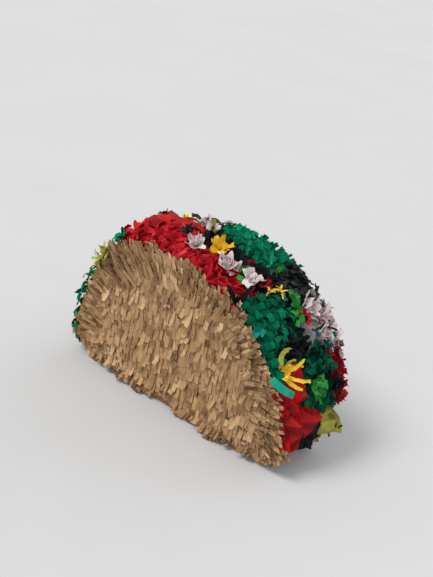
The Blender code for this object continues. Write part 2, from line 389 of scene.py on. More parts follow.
def paper(name, colours, fibre=.3, crepe=.35, rough=.82, mottle=.3, bump=.6, fleck=.05, gloss=.2):
    """Paper whose tone changes from strip to strip, with fibres, mottling and fine creases."""
    n = Nodes(name)
    marks = n.node("ShaderNodeAttribute", attribute_name="paper").outputs["Vector"]
    split = n.node("ShaderNodeSeparateXYZ", Vector=marks)
    lines = n.noise(n.stretched(marks, (1500, 260, 37)), 1, 2)
    cloud = n.noise(n.place, 55)
    tone = n.math("ADD", split.outputs["Z"], n.span(cloud, -mottle / 2, mottle / 2), clamp=True)
    colour = n.ramp(tone, tones(colours))
    grain = n.span(lines, 1 - fibre, 1 + fibre * .4)
    shade = n.node("ShaderNodeCombineColor", Red=grain, Green=grain, Blue=grain).outputs[0]
    colour = n.mix("MULTIPLY", 1, colour, shade)
    flecks = n.span(n.noise(n.place, 900, 2), 0, fleck, .62, .75)
    colour = n.mix("SCREEN", flecks, colour, n.mix("MIX", .5, colour, (.6, .55, .5, 1)))
    n.shade(Specular_IOR_Level=gloss)
    creases = n.noise(n.place, 240, 4, .7)
    height = n.math("ADD", n.math("MULTIPLY", lines, crepe), n.math("MULTIPLY", creases, 1 - crepe))
    return n.finished(colour, n.span(cloud, rough - .08, rough + .1), height, bump, .0006)


def cardboard(name, colours, ribs=160, rough=.8):
    """Brown card: a fibrous liner with the faint lines of its corrugation, scuffs and specks."""
    n = Nodes(name)
    ribs_at = n.node("ShaderNodeTexWave", Vector=n.place, Scale=ribs / TURN, Distortion=.6, Detail=1)
    wave = ribs_at.outputs["Fac"]
    cloud = n.noise(n.place, 24, 4)
    fibres = n.noise(n.stretched(n.place, (900, 900, 120)), 1)
    specks = n.noise(n.place, 1300, 1)
    tone = n.math("ADD", n.span(cloud, .2, .8), n.span(fibres, -.25, .25), clamp=True)
    colour = n.ramp(tone, tones(colours))
    colour = n.mix("MULTIPLY", n.span(wave, 0, .12, 0, 1), colour, (.55, .45, .35, 1))
    colour = n.mix("MULTIPLY", n.span(specks, 0, .45, .66, .72), colour, (.35, .25, .2, 1))
    height = n.math("ADD", n.math("MULTIPLY", fibres, .4), n.math("MULTIPLY", wave, .5))
    return n.finished(colour, n.span(fibres, rough - .1, rough + .12), height, .35, .0004)


KRAFT = paper("kraft_paper", [(92, 62, 36), (139, 105, 69), (168, 132, 92), (190, 153, 110), (216, 181, 137)],
              fleck=.25, gloss=.35)
CARD = cardboard("card", [(120, 88, 58), (150, 115, 80), (172, 137, 98)])
TAPE = cardboard("gummed_tape", [(146, 112, 76), (170, 134, 92), (188, 152, 108)], ribs=40, rough=.6)
TISSUES = {  # by colour: tones from dark to light, look
    "red": ([(112, 2, 14), (168, 8, 24), (202, 22, 40), (230, 76, 86)], {"mottle": .4}),
    "scarlet": ([(120, 0, 8), (176, 4, 12), (210, 14, 18), (226, 34, 28)],
                {"fibre": .12, "crepe": .1, "rough": .6, "mottle": .35, "bump": .35}),
    "green": ([(0, 48, 34), (0, 92, 64), (4, 130, 92), (36, 168, 124)],
              {"mottle": .35, "fleck": .02, "gloss": .06}),
    "black": ([(8, 10, 14), (20, 23, 26), (36, 40, 41), (70, 73, 71)], {"gloss": .1}),
    "white": ([(190, 168, 166), (212, 194, 192), (228, 214, 214), (240, 232, 232)], {"mottle": .25}),
    "yellow": ([(196, 140, 26), (232, 182, 38), (246, 206, 62), (250, 226, 118)], {}),
    "lime": ([(104, 92, 34), (150, 140, 56), (180, 178, 74), (204, 206, 104)], {"mottle": .35}),
    "leaf": ([(16, 84, 34), (30, 124, 46), (60, 156, 66), (96, 180, 84)], {"mottle": .35}),
    "teal": ([(0, 76, 84), (4, 132, 112), (24, 164, 134), (64, 190, 160)], {}),
    "taupe": ([(104, 92, 84), (140, 126, 116), (166, 152, 142), (188, 176, 168)], {"mottle": .25})}
SLOTS = {"leaf": "tissue_green", "teal": "tissue_green", "taupe": "tissue_white"}  # material slot names by colour, others tissue_ and their colour; filling looks the name up but gives it to nothing
MATERIALS = {colour: paper("tissue_" + colour, shades, **look) for colour, (shades, look) in TISSUES.items()}


def dress(material, *names):
    """Gives CAD nodes that stay in view their material."""
    for name in names:
        for held in frame["nodes"][name].material_slots:
            held.material = material


dress(CARD, "front_panel", "back_panel", "rim_band", "base_strip", "hanger_plate", "hatch_door")
dress(TAPE, "rim_tape_front", "rim_tape_back")


# ---- kraft paper fringe

PLY_SHADES = (.22, .44, .6)  # painted shade: tints of the three plies, from the card outwards, darker nearer the card as if shaded by the plies over it
SPACING = .007  # between the strips of one ply
CLUMP = .014  # width of the clumps that the strips along the floor stand in
RING_CUT = {  # by side: angle at which the ring is cut longer or shorter, over what width, by how much
    -1: ((126, 6, .015), (138, 7, .006), (158, 13, -.008), (184, 5, .01), (215, 11, -.012),
         (112, 9, .007), (92, 6, -.006), (74, 6, -.008), (62, 4, .011), (36, 9, -.008), (24, 4, .004),
         (11, 5, -.006), (-6, 7, .012), (-38, 10, -.008)),
    1: ((-8, 16, -.011), (196, 18, -.005), (120, 25, .003))}
FLOOR_CUT = {  # the same for the strips along the floor, by x
    -1: ((-.112, .012, -.003), (-.072, .018, .004), (-.04, .009, .003), (-.012, .012, -.005),
         (.035, .019, .004), (.061, .006, -.006), (.087, .01, .006), (.116, .012, -.006),
         (.152, .015, -.004)),
    1: ((-.06, .02, .003), (.1, .02, .003))}


def uneven(table, place):
    """How much longer the strips are cut at a place, by a table."""
    return sum(extra * np.exp(-((place - middle) / width) ** 2) for middle, width, extra in table)


def clumped(r, count, size=3):
    """A random value that runs of about so many neighbours share."""
    runs = np.floor((np.arange(count) + r.uniform(0, size)) / size).astype(int)
    return r.normal(0, 1, runs.max() + 1)[runs]


def crooked(r, count, *sizes):
    """How much strips bend, twist, cup and slant at random, by the size of each."""
    return {key: r.normal(0, size, count) for key, size in zip(("bend", "twist", "cup", "slant"), sizes)}


def hang(sheaf, side, x, up, out, tone):
    """Cut strips hanging down a face from a glued edge, some of them lifted together."""
    r = sheaf.random
    count = len(x)
    shared = clumped(r, count)
    yaw = .03 * clumped(r, count, 5) + r.normal(0, .035, count)
    lifted = shared + r.normal(0, .5, count) > 1.25
    curl = np.where(lifted, r.uniform(.35, 1.15, count), r.uniform(-.14, .14, count))
    sheaf.add(on_face(side, x, up, out), face_vector(side, yaw, -1, 0), face_vector(side, 0, 0, 1),
              width=r.uniform(.0056, .0084, count), length=r.uniform(.019, .031, count),
              tilt=.085 + .02 * shared + r.normal(0, .03, count), curl=curl, hook=(1.5, 3.5),
              **crooked(r, count, .05, .09, .06, .13), crush=.0002,
              # tint: the ply's painted shade, with clumps and single strips lighter or darker at random
              tint=(tone + .08 * shared + r.normal(0, .11, count)).clip(0, 1))


def glued_edge(side, x0, x1, up, depth=.006):
    """The uncut header of a fringe: a thin band on the face, with a slightly uneven edge."""
    x = np.linspace(x0, x1, max(3, int((x1 - x0) / .008)))
    edges = up + .0006 * np.sin(x * 210 + up * 900), np.full_like(x, up - depth)
    outer, inner = (np.stack([on_face(side, x, edge, out) for edge in edges[::side]])
                    for out in (.0006 + PAPER, .0006))
    return marked(outer, inner, outer[..., 0], outer[..., 2], .4)


def row_place(node):
    """Ends and top of a CAD fringe row, and its side."""
    low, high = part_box(node)
    side = -1 if low[1] + high[1] < 0 else 1
    return low[0], high[0], high[2] / COS, side


def kraft_piece(sheaf, bands=(), node=None, body="pinata"):
    """A kraft piece that rides on a body in place of its CAD node, if it has one."""
    piece = strips(sheaf, KRAFT, bands)
    if node:
        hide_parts(node)
        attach(piece, body)
    return piece


def fringe_row(node, body="pinata", name=None, keep=None):
    """The strips of one row. A named one has only the strips, and rides on nothing yet."""
    x0, x1, top, side = row_place(node)
    sheaf = Sheaf(name or node)
    # plies from the card outwards, each tinted with its painted shade
    for ply, tone in enumerate(PLY_SHADES):
        count = max(3, int((x1 - x0) / SPACING))
        x = np.linspace(x0 + .002, x1 - .002, count) + sheaf.random.normal(0, .0012, count)
        up = top - .0012 + sheaf.random.uniform(-.0065, .0035, count)
        out = .0012 + .0006 * ply + sheaf.random.uniform(0, .0006, count)
        if keep:
            held = keep(x)
            x, up, out = x[held], up[held], out[held]
        hang(sheaf, side, x, np.minimum(up, top + .001), out, tone)
    return kraft_piece(sheaf) if name else kraft_piece(sheaf, [glued_edge(side, x0, x1, top)], node, body)


def floor_row(node):
    """The lowest row, whose strips splay out over the floor."""
    x0, x1, top, side = row_place(node)
    sheaf = Sheaf(node)
    r = sheaf.random
    lumps = r.normal(0, 1, int((x1 - x0) / CLUMP) + 1)
    for ply in range(len(PLY_SHADES)):
        count = int((x1 - x0) / SPACING)
        x = np.linspace(x0, x1, count) + r.normal(0, .0015, count)
        shared = lumps[((x - x0) / CLUMP).astype(int).clip(0, len(lumps) - 1)]
        up = np.full(count, top) - r.uniform(0, .003, count)
        length = .0125 + .0038 * shared + r.uniform(-.0035, .0035, count) + uneven(FLOOR_CUT[side], x)
        length -= .05 * np.maximum(np.abs(x) - .1, 0)
        direction = face_vector(side, r.normal(0, .16, count) + x * 1.2, -1, 0)
        sheaf.add(on_face(side, x, up, .0012 + .0007 * ply), direction, face_vector(side, 0, 0, 1),
                  width=r.uniform(.0045, .0085, count), length=length.clip(.006, .027),
                  tilt=(.5 + .16 * shared + r.normal(0, .08, count)).clip(.22, 1.05), curl=(.1, .6),
                  hook=1.2, **crooked(r, count, .15, .3, .12, .35), crush=.0004,
                  # tint: darker on the whole than the rows above, a painted shade of the fringe along the
                  # floor
                  tint=r.normal(.33, .22, count).clip(0, 1))
    kraft_piece(sheaf, [glued_edge(side, x0, x1, top)], node)


RING = (  # courses: inset of the glued edge, length, lift, tone
    (.007, .024, .0008, .6), (.018, .029, .002, .42), (.03, .028, .003, .36), (.041, .025, .004, .42))


def course(sheaf, side, late, inset, length, lift, tone):
    """One ply of a ring's course: strips all round, late by some degrees."""
    r = sheaf.random
    count = 140
    angle = np.linspace(-47, 227, count) + r.normal(0, .5, count) + late
    spot, normal = edge(angle, inset + .001)
    spot = spot + normal * r.uniform(-.004, .003, count)[:, None]
    flat = between(normal, normal[:, ::-1] * (-1, 1), r.normal(0, .13, count))
    sheaf.add(on_face(side, spot[:, 0], spot[:, 1], lift), face_vector(side, flat[:, 0], flat[:, 1], 0),
              face_vector(side, 0, 0, 1), width=r.uniform(.0042, .0075, count),
              length=length * r.uniform(.8, 1.12, count) + uneven(RING_CUT[side], angle),
              tilt=r.normal(.06, .05, count), curl=r.normal(.02, .22, count),
              hook=r.uniform(1.2, 2.5, count), **crooked(r, count, .12, .25, .12, .2), crush=.0003,
              # tint: random by course, raised in a narrow band at angle 96, and lowered around angle 130 as
              # painted shade over the upper left
              tint=(r.normal(tone, .2, count) + .35 * np.exp(-((angle - 96) / 7) ** 2)
                    - .1 * np.exp(-((angle - 130) / 22) ** 2)).clip(0, 1))


def ring(node, side):
    """The courses of strips that fan out around a face's curved edge."""
    sheaf = Sheaf(node, steps=5)
    for inset, length, lift, tone in RING:
        course(sheaf, side, 0, inset, length, lift, tone)
        course(sheaf, side, .9, inset, length, lift + .0005, tone)
    kraft_piece(sheaf, (), node)


def build_kraft():
    """Every kraft piece of both faces and the hatch."""
    floor_row("front_fringe_01")
    floor_row("back_fringe_01")
    for number in range(2, 12):
        fringe_row(f"front_fringe_{number:02d}")
    for place in ("02", "03", "04", "10", "11", "05_left", "05_right", "06_left", "06_right", "07_left",
                  "07_right"):
        fringe_row("back_fringe_" + place)
    for number in (1, 2, 3):
        fringe_row(f"hatch_fringe_{number}", "hatch")
    low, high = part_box("hatch_door")
    margin = .005

    def over_flap(x):
        return (x > low[0] - margin) & (x < high[0] + margin)

    for number in ("08", "09"):  # the strips over the hatch make a piece of their own
        node = "back_fringe_" + number
        fringe_row(node, keep=lambda x: ~over_flap(x))
        hinge_blend(fringe_row(node, name="hinge_fringe_" + number, keep=over_flap))
    ring("front_edge_fringe", -1)
    ring("back_edge_fringe", 1)


def hinge_blend(piece, above=.008, below=.006):
    """Bakes a piece's placement into its points; the points above and below the hatch's hinge line are worked
    out but not used.
    """
    start, end = on_face(1, 0, HINGE_UP + above, 0), on_face(1, 0, HINGE_UP - below, 0)
    tuple(start)
    tuple(end)
    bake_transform(piece)


def build_hinge_tape():
    """The gummed paper that is the hatch's hinge, in place of its CAD node."""
    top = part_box("hatch_hinge_tape")[1][2]
    low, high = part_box("hatch_door")
    inset = .004
    ups = np.linspace(HINGE_UP - .011, top / COS, 14)
    xs = np.linspace(low[0] + inset, high[0] - inset, 12)
    outer, inner = (np.stack([on_face(1, xs, up, out) for up in ups]) for out in (.0006, .00025))
    piece = made("hatch_hinge_paper", *marked(outer, inner, outer[..., 0], outer[..., 2], .5), TAPE)
    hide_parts("hatch_hinge_tape")
    hinge_blend(piece, .004, .004)


def sheet(grid, tint):
    """A closed sheet of paper from one grid of points, with its paper coordinates."""
    over = np.gradient(grid, axis=1)
    down = np.gradient(grid, axis=0)
    out = unit(np.cross(over, down)) * PAPER
    u, v = lattice(np.arange(grid.shape[0]), np.arange(grid.shape[1]))
    return marked(grid + out, grid - out, v * .0012, u * .0025, tint)


def wander(r, s, knots, size):
    """A random value that drifts along s, which runs from 0 to 1."""
    return size * np.interp(s, np.linspace(0, 1, knots), r.normal(0, 1, knots))


def crushed(r, shape, knots, size):
    """Random moves over a grid, even between coarser knots, as in crushed paper."""
    coarse = r.normal(0, size, (*knots, 3))
    u = np.linspace(0, knots[0] - 1, shape[0])
    v = np.linspace(0, knots[1] - 1, shape[1])
    a = np.minimum(u.astype(int), knots[0] - 2)
    b = np.minimum(v.astype(int), knots[1] - 2)
    fu, fv = (u - a)[:, None, None], (v - b)[None, :, None]
    low, high = (coarse[row][:, b] * (1 - fv) + coarse[row][:, b + 1] * fv for row in (a, a + 1))
    return low * (1 - fu) + high * fu


# ---- tissue paper filling

RIM_RADIUS = .2  # about, to turn degrees into lengths
NEAR, MIDDLE, FAR = (-1, -.35), (-.31, .31), (.35, 1)  # lanes of the filling


def under(sheaf, angles, lanes, height, tint=.2):
    """The crumpled paper under a filling: a lumpy closed sheet, by default in a dark tone as painted shade of
    the buried paper.
    """
    r = seeded(sheaf.name + "under")
    rows = max(4, int(abs(angles[1] - angles[0]) / 2.2))
    columns = 9
    angle, lane = lattice(np.linspace(*angles, rows), np.linspace(*lanes, columns))
    lump = height * (.55 + .45 * r.random((rows, columns)))
    lump[[0, -1], 1:-1] *= .15
    lump[:, [0, -1]] *= .35
    return marked(rim(angle, lane, .001 + lump), rim(angle, lane, .0006), angle * .003, lane * .05, tint)


def shag(sheaf, angles, lanes, lean, step, height, width=(.0075, .0105), length=(.012, .017), jitter=.4,
         stray=.4, face=0, spin=0, fall=0, **shape):
    """Rows of square petals that curl over down the rim, like fringe wound round and round.

    They stand a step apart, moved by up to jitter of it, and stray is how much they differ. face turns
    their curl towards the front, spin makes that uneven, and fall 1 or -1 sends all to the right or left.
    """
    r = sheaf.random
    long, wide = angles[1] - angles[0], lanes[1] - lanes[0]
    rows = max(2, int(math.radians(long) * RIM_RADIUS / step))
    columns = max(2, int(wide * (FOOT + .018) / step))
    angle, lane = lattice(np.linspace(*angles, rows), np.linspace(*lanes, columns))
    lane = lane + (np.arange(rows) % 2 * .5)[:, None] * wide / columns
    count = rows * columns
    angle = angle.ravel() + r.uniform(-jitter, jitter, count) * long / rows
    lane = (lane.ravel() + r.uniform(-jitter, jitter, count) * wide / columns).clip(-.98, .98)
    base = rim(angle, lane, height * r.uniform(.75, 1.1, count))
    outward, along, across = rim_frame(angle, lane)
    down = np.full(count, fall) if fall else np.where(angle < 90, 1.0, -1.0)
    turn = face + r.normal(0, 1, count) * spin
    over = between(along * down[:, None], across, turn)
    aside = across * r.normal(0, stray, count)[:, None]
    direction = unit(outward + over * (lean * r.uniform(1 - stray, 1 + stray, count))[:, None] + aside)
    values = dict(width=width, length=length, tilt=(.1, .4), curl=(.9, 1.9), twist=r.normal(0, stray, count),
                  cup=r.normal(.05, .2, count), crush=.0004, tint=r.normal(.5, .25, count).clip(0, 1))
    sheaf.add(base, direction, over - outward * .2, **{**values, **shape})


def ruffle(r, angles, lane, height, tall=.018, swing=.0075, wave=.026, tint=.62):
    """A crepe ribbon glued down along the rim, its free edge drawn into folds and fine pleats."""
    length = math.radians(angles[1] - angles[0]) * RIM_RADIUS
    count = max(12, int(length / .0013))
    s = np.linspace(0, 1, count)
    angle = angles[0] + (angles[1] - angles[0]) * s
    lanes = (lane + wander(r, s, 3 + int(length / .03), .07)).clip(-1.02, 1.02)
    outward, along, across = rim_frame(angle, lanes)
    pace = TURN * length / count
    fold = np.cumsum(pace / (wave * np.exp(wander(r, s, 14, .3)))) + r.uniform(0, TURN)
    pleat = np.cumsum(pace / (.0042 * np.exp(wander(r, s, 30, .3))))
    top = tall * (1 + wander(r, s, 3 + int(length / .005), .13))
    grid = []
    for part in np.linspace(0, 1, 7):
        sway = swing * part ** 1.2 * (np.sin(fold) + .4 * np.sin(2.3 * fold + 1))
        sway = sway + .0008 * part * np.sin(pleat)
        slide = .5 * swing * part * np.sin(2 * fold + .6)
        rise = top * part * (1 - .3 * part * np.abs(np.sin(fold)))
        place = rim(angle, lanes, height) + outward * rise[:, None]
        grid.append(place + across * sway[:, None] + along * slide[:, None])
    grid = np.stack(grid)
    grid = grid + crushed(r, grid.shape[:2], (4, 4 + int(length / .006)), .0011)
    return sheet(grid, tint + wander(r, s, 3 + int(length / .01), .16))


def ruffles(name, angles, lanes, height, gap=.13, **shape):
    """Crepe ribbons side by side over part of the rim."""
    r = seeded(name + "ruffles")
    for lane in np.arange(lanes[0], lanes[1] + gap / 2, gap):
        ends = (angles[0] + r.uniform(-1, 1), angles[1] + r.uniform(-1, 1))
        yield ruffle(r, ends, lane, height * r.uniform(.85, 1.1), **shape)


def opening(angle, lane, toward):
    """The axis of what opens from one place, leaning by (along, across), and its two sides."""
    outward, along, across = rim_frame(angle, lane)
    axis = unit(outward + along * toward[0] + across * toward[1])
    first = unit(np.cross(axis, along + across * .3))
    return axis, first, np.cross(axis, first)


def rosette(r, angle, lane, height, radius, rise, toward):
    """A crushed scrap of tissue standing open like a flower, with an uneven edge."""
    axis, first, second = opening(angle, lane, toward)
    lobes, columns = 4, 46
    s = np.linspace(0, 1, columns)
    turn = s * TURN * 1.06 + r.uniform(0, TURN)
    border = (1 + wander(r, s, 3 * lobes, .16)).clip(.7, 1.2)
    lobe = np.sin(lobes * turn + wander(r, s, lobes, .6))
    aside = between(first, second, turn)
    grid = []
    for part in np.linspace(.1, 1, 7):
        out = radius * part * border * (1 + .22 * lobe * part)
        up = rise * part ** 1.2 * (1 + .3 * lobe * part)
        grid.append(rim(angle, lane, height) + axis * up[:, None] + aside * out[:, None])
    grid = np.stack(grid)
    grid = grid + crushed(r, grid.shape[:2], (4, 3 * lobes), .0021) * np.linspace(.3, 1, 7)[:, None, None]
    return sheet(grid, .5 + wander(r, s, 3 * lobes, .14))


def scraps(sheaf, table):
    """Crushed scraps, two to a place, from rows of angle, lane, height and radius."""
    r = seeded(sheaf.name + "scraps")
    for angle, lane, height, radius in table:
        toward = (r.uniform(-.2, .6), r.uniform(-.1, .6))
        yield rosette(r, angle, lane, height, radius, radius * .8, toward)
        yield rosette(r, angle, lane, height + .002, radius * .6, radius, toward)


def tuft(sheaf, angle, lane, count, height, spread, width, length, toward=(0, 0), **shape):
    """Petals that open from one point by up to spread, leaning towards (along, across)."""
    r = sheaf.random
    axis, first, second = opening(angle, lane, toward)
    turn = (np.arange(count) + r.uniform(-.3, .3, count)) * TURN / count * 1.618
    open_by = spread * np.sqrt((np.arange(count) + .5) / count) * r.uniform(.8, 1.2, count)
    aside = between(first, second, turn)
    direction, normal = between(axis, aside, open_by), between(aside, -axis, open_by)
    base = rim(angle, lane, height) + aside * .0015
    values = dict(width=width, length=length, curl=(.2, 1.2), twist=r.normal(0, .3, count),
                  cup=r.normal(-.2, .3, count), crush=.0007, tint=r.normal(.5, .25, count).clip(0, 1))
    sheaf.add(base, direction, normal, **{**values, **shape})


def ribbons(sheaf, angle, lane, height, table, **shape):
    """Single strips from one place: each row is along, across, outward, length, width, bend and curl."""
    outward, along, across = rim_frame(angle, lane)
    for to_right, to_front, to_out, length, width, bend, curl in table:
        direction = along * to_right + across * to_front + outward * to_out
        sheaf.add(rim(angle, lane, height), direction, outward, length=length, width=width, bend=bend,
                  curl=curl, **shape)


def folded(sheaf, angles, lanes, heights, reach=None):
    """A sheet crushed into large flat facets.

    Creases run between the points of a coarse grid of angles and lanes. heights has a row for each angle
    and a value for each lane, in millimetres over the rim; reach is the lane where each row ends.
    """
    r = seeded(sheaf.node)
    rows, columns = len(angles) - 1, len(lanes) - 1
    heights = np.array(heights) / 1000
    across_row = r.uniform(-.2, .2, heights.shape)
    along_row = r.uniform(-.2, .2, heights.shape)
    fine = 4
    gu, gv = lattice(np.linspace(0, rows, rows * fine + 1), np.linspace(0, columns, columns * fine + 1))
    a = np.minimum(gu.astype(int), rows - 1)
    b = np.minimum(gv.astype(int), columns - 1)
    fu, fv = gu - a, gv - b
    flip = (a + b) % 2 == 1

    def flat(grid):
        """Values between the grid's points, plane over each half of a cell."""
        p, q, v, t = grid[a, b], grid[a + 1, b], grid[a, b + 1], grid[a + 1, b + 1]
        one = np.where(fu > fv, p + fu * (q - p) + fv * (t - q), p + fv * (v - p) + fu * (t - v))
        near, far = p + fu * (q - p) + fv * (v - p), t + (1 - fu) * (v - t) + (1 - fv) * (q - t)
        return np.where(flip, np.where(fu + fv < 1, near, far), one)

    row_at = flat(np.arange(rows + 1)[:, None] + across_row)
    column_at = flat(np.arange(columns + 1)[None, :] + along_row)
    angle = np.interp(row_at, np.arange(rows + 1), angles)
    lane = np.interp(column_at, np.arange(columns + 1), lanes)
    if reach:
        wide = (np.interp(row_at, np.arange(rows + 1), reach) - lanes[0]) / (lanes[-1] - lanes[0])
        lane = lanes[0] + (lane - lanes[0]) * wide
    height = flat(heights) + r.normal(0, .0004, gu.shape)
    lane = lane.clip(-1.03, 1.03)
    tone = .3 + r.normal(0, .18, (rows, columns))[a, b]
    return marked(rim(angle, lane, height), rim(angle, lane, height - .0006), gu * .01, gv * .01, tone)


def filling(sheaf, colour, *extra, smooth=40):
    """A filling piece of one colour, standing for the CAD node of its name if there is one."""
    piece = strips(sheaf, MATERIALS[colour], extra, smooth)
    SLOTS.get(colour, "tissue_" + colour)
    if sheaf.node in frame["nodes"]:
        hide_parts(sheaf.node)
    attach(piece, "pinata")


def lettuce():
    """Emerald fringe wound over the rim, and the loose pompom low on the right."""
    s = Sheaf("lettuce_ruffle_near", steps=6)
    for height in (.021, .014):
        for angles, lanes in (((44, 61), (-.97, .04)), ((30, 44), (-1.0, -.7))):
            shag(s, angles, lanes, .2, .0084, height, (.008, .011), (.014, .018), jitter=.2, stray=.12,
                 tilt=(.25, .5), curl=(1.3, 1.9), tint=(.1, .62))
    filling(s, "green", under(s, (29, 59), (-1, -.1), .022))
    s = Sheaf("lettuce_ruffle_far", steps=5)
    for angles, height in (((66, 97), .011), ((78, 97), .015), ((66, 78), .02)):
        shag(s, angles, (.24, 1), -.1, .0078, height, (.008, .012), (.01, .016), stray=.35, face=.9,
             spin=.7, fall=1, tilt=(-.4, .1), curl=(.3, 1.1), cup=(-.4, .4), tint=(.6, 1))
    shag(s, (97, 121), (.45, 1), 0, .0085, .011, stray=.2, face=.9, spin=.7, fall=1, tilt=(-.3, .2),
         curl=(.3, 1.1), tint=(.5, 1))
    filling(s, "green", under(s, (67, 120), (.22, 1), .016))
    s = Sheaf("lettuce_ruffle_left", steps=5)
    shag(s, (130, 198), (-1, -.36), .5, .0085, .014, stray=.35, spin=.6)
    shag(s, (123, 129), (-.94, -.66), .5, .0085, .022, stray=.35, face=.8, spin=.6, fall=-1)
    tuft(s, 123.5, -.9, 6, .03, .8, (.009, .012), (.012, .016), (-.2, .1), tint=(.5, .9))
    shag(s, (150, 190), (-1.04, -.8), .5, .009, .018, stray=.5, spin=.6, fall=-1)
    filling(s, "green", under(s, (129, 198), NEAR, .015))
    s = Sheaf("lettuce_pompom", steps=6)
    for height in (.027, .02):
        for angles, lanes in (((18, 34), (-.36, .72)), ((14, 18), (.2, .86))):
            shag(s, angles, lanes, .2, .0066, height, (.005, .009), (.011, .018), spin=2.5,
                 curl=(1.2, 2.6), tint=(0, .45))
    filling(s, "green", under(s, (9, 33), (-.31, .66), .028))


def tomato():
    """Red crepe drawn into thick ruffles, in bands of angles, lanes and height."""
    for name, under_lanes, bands in (
            ("tomato_ruffle_near", NEAR, (((61, 94), (-.92, -.46), .01),)),
            ("tomato_ruffle_top", NEAR, (((93, 124), (-.9, -.7), .014), ((98, 128), (-.65, -.39), .027))),
            ("tomato_ruffle_far", FAR, (((121, 198), (.4, .95), .008),))):
        s = Sheaf(name, columns=5)
        extra = [under(s, bands[0][0], under_lanes, bands[0][2] * 1.3)]
        for number, (angles, lanes, height) in enumerate(bands):
            shag(s, angles, lanes, .4, .0145, height * .9, (.012, .019), stray=.5, spin=2, curl=(.4, 1.4),
                 crush=.0012, frill=(.0004, .0012), tint=(.35, 1))
            extra += ruffles(name + str(number), angles, lanes, height * .7)
        filling(s, "red", *extra)
    s = Sheaf("salsa_tuft_far", steps=5)
    shag(s, (13, 33), (.78, 1.08), .1, .0075, .025, spin=2.5, curl=(.9, 2.2), crush=.0008, tint=(0, .5))
    tuft(s, 47, .3, 7, .022, .9, .01, .014)
    tuft(s, 72, -.1, 3, .021, .8, .009, .012, tint=.1)
    tuft(s, 63, -.15, 3, .021, .8, .009, .012, tint=.1)
    extra = ruffles(s.name, (13, 33), (.78, 1.0), .022, gap=.12, tall=.014, wave=.013, swing=.006, tint=.3)
    filling(s, "red", under(s, (12, 32), (.6, 1), .026), *extra)


def salsa():
    """Smooth scarlet paper crushed into large facets."""
    s = Sheaf("salsa_fold_near", columns=5)
    shag(s, (1, 26), (-.97, -.8), .3, .0068, .01, (.006, .01), (.01, .014), spin=1.5, crush=.0012,
         tint=(0, .5))
    heights = ((1, 5, 7, 6, 4), (2, 12, 15, 12, 8), (3, 22, 14, 25, 16), (3, 16, 30, 18, 27),
               (3, 35, 22, 41, 33), (3, 10, 24, 14, 28), (3, 20, 12, 32, 30), (3, 20, 30, 24, 34),
               (2, 8, 12, 14, 8))
    reach = (-.86, -.72, -.42, -.08, .2, -.12, -.34, -.42, -.5)
    filling(s, "scarlet", folded(s, (-19, -7, 1, 6, 11, 16, 23, 31, 37), (-1, -.7, -.4, -.1, .2), heights,
                                 reach), smooth=8)
    s = Sheaf("salsa_fold_top", columns=5)
    shag(s, (106, 134), (-.4, -.2), .3, .011, .03, (.01, .015), spin=1.5, crush=.0012)
    shag(s, (112, 128), (-.58, -.4), .3, .01, .036, (.01, .015), spin=1.5, crush=.0012)
    heights = ((6, 12, 14, 10, 2), (18, 30, 26, 32, 9), (30, 38, 46, 38, 13), (44, 52, 46, 52, 17),
               (30, 42, 46, 40, 11), (6, 12, 16, 12, 3))
    filling(s, "scarlet", folded(s, (95, 102, 110, 118, 127, 138), (-.5, -.28, -.05, .2, .45), heights),
            smooth=8)


def olives():
    """Black strips and folds between the colours."""
    s = Sheaf("olive_tuft_middle", steps=6)
    for angle, lane in ((32, -.34), (34.5, -.52), (36, -.28), (38, -.56), (38, -.1), (41, -.36), (43, -.12),
                        (47, .12), (50, .3), (56, .2), (64, .05), (71, -.15), (77, -.1), (83, .02),
                        (90, .08), (94.5, -.06), (95, .2)):
        tuft(s, angle, lane, 14, .017, 1.3, (.004, .0075), (.014, .024), curl=(.2, 1.4), tint=(0, .55))
    filling(s, "black", under(s, (34, 94), (-.42, .36), .022))
    s = Sheaf("olive_tuft_far", steps=7)
    for angle in np.linspace(52.5, 66, 5):
        for lane, height in ((.46, .018), (.68, .02), (.88, .022)):
            tuft(s, angle, lane, 9, height, 1.15, (.007, .011), (.015, .021), curl=(.8, 2.2), tint=(.3, 1))
    filling(s, "black", under(s, (48, 67), (.3, 1), .022))
    s = Sheaf("olive_fold_low")
    tuft(s, 1, -.2, 3, .018, .5, .013, .014)
    heights = ((2, 6, 8, 2, 1), (8, 16, 20, 12, 1), (14, 26, 20, 20, 2), (16, 20, 28, 20, 2), (4, 8, 8, 4, 1))
    filling(s, "black", folded(s, (-16, -8, -1, 6, 12), (-.7, -.3, .1, .5, .97), heights), smooth=8)
    s = Sheaf("olive_strips_near", steps=6)
    arms = ((-1.5, .75, 2.4, .032, .011, .3, -.3), (0, -2, 2.8, .034, .011, -.2, -.3),
            (-.6, -.6, 2.6, .018, .012, 0, .4), (.4, -.4, 2, .014, .012, 0, .9))
    ribbons(s, 60.5, -.98, .016, arms, taper=.55, tint=.25, crush=.0005)
    tuft(s, 98, -.38, 9, .03, .9, (.005, .009), .014)
    tuft(s, 119, .16, 4, .046, .9, .007, .011)
    for angle, lane, height in ((5, .72, .034), (2.5, .6, .03), (4.2, .86, .037), (118, -.28, .043),
                                (112, -.3, .037), (109, -.22, .037)):
        tuft(s, angle, lane, 2, height, .7, .0035, .006, curl=1.2)
    ribbons(s, 41, .4, .03, ((-.2, -1, .7, .034, .003, .9, .8), (.1, -1, .9, .02, .003, -.6, .8)))
    tuft(s, 180, -.6, 4, .02, .9, .006, .014)
    tuft(s, 21, .7, 9, .03, .9, (.006, .01), .014)
    filling(s, "black")


